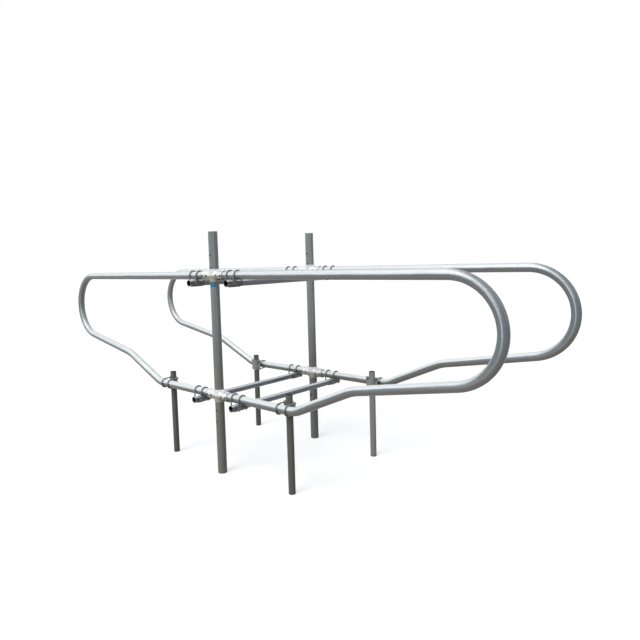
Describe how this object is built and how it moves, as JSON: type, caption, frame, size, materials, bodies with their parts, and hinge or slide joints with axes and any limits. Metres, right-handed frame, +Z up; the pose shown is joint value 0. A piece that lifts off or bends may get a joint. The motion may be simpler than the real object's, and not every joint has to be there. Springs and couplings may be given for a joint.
{
  "type": "cow free stall",
  "caption": "Double-sided cow free stall: bent tube dividers clamped to round posts, tied by cross rails and propped on legs held with U-bolts.",
  "frame": {"origin": "on the ground, midway between the two posts, at the centre of the bounding box's underside", "axes": "X runs along the dividers, Y from the near divider to the far one, Z up"},
  "size_m": [4.312, 1.19, 1.783],
  "materials": {
    "galvanised_loop": "hot-dip galvanised, bright",
    "galvanised_post": "hot-dip galvanised, matt grey-green",
    "galvanised_rail": "hot-dip galvanised",
    "weathered_leg": "hot-dip galvanised, dark and weathered",
    "bright_clamp": "pressed sheet, hot-dip galvanised, bright",
    "pressed_saddle": "pressed sheet, galvanised",
    "dull_fastener": "zinc-plated, dull"
  },
  "bodies": {
    "frame": {"far_left_half_loop": "galvanised_loop", "far_left_leg_inner_u_bolt": "dull_fastener", "far_left_leg_outer_u_bolt": "dull_fastener", "far_left_leg_saddle": "pressed_saddle", "far_lower_clamp_bolt_shell": "bright_clamp", "far_lower_clamp_nut_shell": "bright_clamp", "far_lower_left_rail_inner_u_bolt": "dull_fastener", "far_lower_left_rail_outer_u_bolt": "dull_fastener", "far_lower_left_rail_saddle": "pressed_saddle", "far_lower_right_rail_inner_u_bolt": "dull_fastener", "far_lower_right_rail_outer_u_bolt": "dull_fastener", "far_lower_right_rail_saddle": "pressed_saddle", "far_post": "galvanised_post", "far_right_half_loop": "galvanised_loop", "far_right_leg_inner_u_bolt": "dull_fastener", "far_right_leg_outer_u_bolt": "dull_fastener", "far_right_leg_saddle": "pressed_saddle", "far_upper_clamp_bolt_shell": "bright_clamp", "far_upper_clamp_nut_shell": "bright_clamp", "far_upper_left_rail_inner_u_bolt": "dull_fastener", "far_upper_left_rail_outer_u_bolt": "dull_fastener", "far_upper_left_rail_saddle": "pressed_saddle", "far_upper_right_rail_inner_u_bolt": "dull_fastener", "far_upper_right_rail_outer_u_bolt": "dull_fastener", "far_upper_right_rail_saddle": "pressed_saddle", "lower_left_rail": "galvanised_rail", "lower_right_rail": "galvanised_rail", "near_left_half_loop": "galvanised_loop", "near_left_leg_inner_u_bolt": "dull_fastener", "near_left_leg_outer_u_bolt": "dull_fastener", "near_left_leg_saddle": "pressed_saddle", "near_lower_clamp_bolt_shell": "bright_clamp", "near_lower_clamp_nut_shell": "bright_clamp", "near_lower_left_rail_inner_u_bolt": "dull_fastener", "near_lower_left_rail_outer_u_bolt": "dull_fastener", "near_lower_left_rail_saddle": "pressed_saddle", "near_lower_right_rail_inner_u_bolt": "dull_fastener", "near_lower_right_rail_outer_u_bolt": "dull_fastener", "near_lower_right_rail_saddle": "pressed_saddle", "near_post": "galvanised_post", "near_right_half_loop": "galvanised_loop", "near_right_leg_inner_u_bolt": "dull_fastener", "near_right_leg_outer_u_bolt": "dull_fastener", "near_right_leg_saddle": "pressed_saddle", "near_upper_clamp_bolt_shell": "bright_clamp", "near_upper_clamp_nut_shell": "bright_clamp", "near_upper_left_rail_inner_u_bolt": "dull_fastener", "near_upper_left_rail_outer_u_bolt": "dull_fastener", "near_upper_left_rail_saddle": "pressed_saddle", "near_upper_right_rail_inner_u_bolt": "dull_fastener", "near_upper_right_rail_outer_u_bolt": "dull_fastener", "near_upper_right_rail_saddle": "pressed_saddle", "upper_left_rail": "galvanised_rail", "upper_right_rail": "galvanised_rail"},
    "far_left_leg": {"far_left_leg": "weathered_leg"},
    "far_right_leg": {"far_right_leg": "weathered_leg"},
    "near_left_leg": {"near_left_leg": "weathered_leg"},
    "near_right_leg": {"near_right_leg": "weathered_leg"}
  },
  "joints": [
    {"name": "far_left_leg_slide", "type": "slide", "parent": "frame", "child": "far_left_leg", "axis": [0, 0, 1], "range_m": [-0.035, 0.1]},
    {"name": "far_right_leg_slide", "type": "slide", "parent": "frame", "child": "far_right_leg", "axis": [0, 0, 1], "range_m": [-0.035, 0.1]},
    {"name": "near_left_leg_slide", "type": "slide", "parent": "frame", "child": "near_left_leg", "axis": [0, 0, 1], "range_m": [-0.035, 0.1]},
    {"name": "near_right_leg_slide", "type": "slide", "parent": "frame", "child": "near_right_leg", "axis": [0, 0, 1], "range_m": [-0.035, 0.1]}
  ]
}
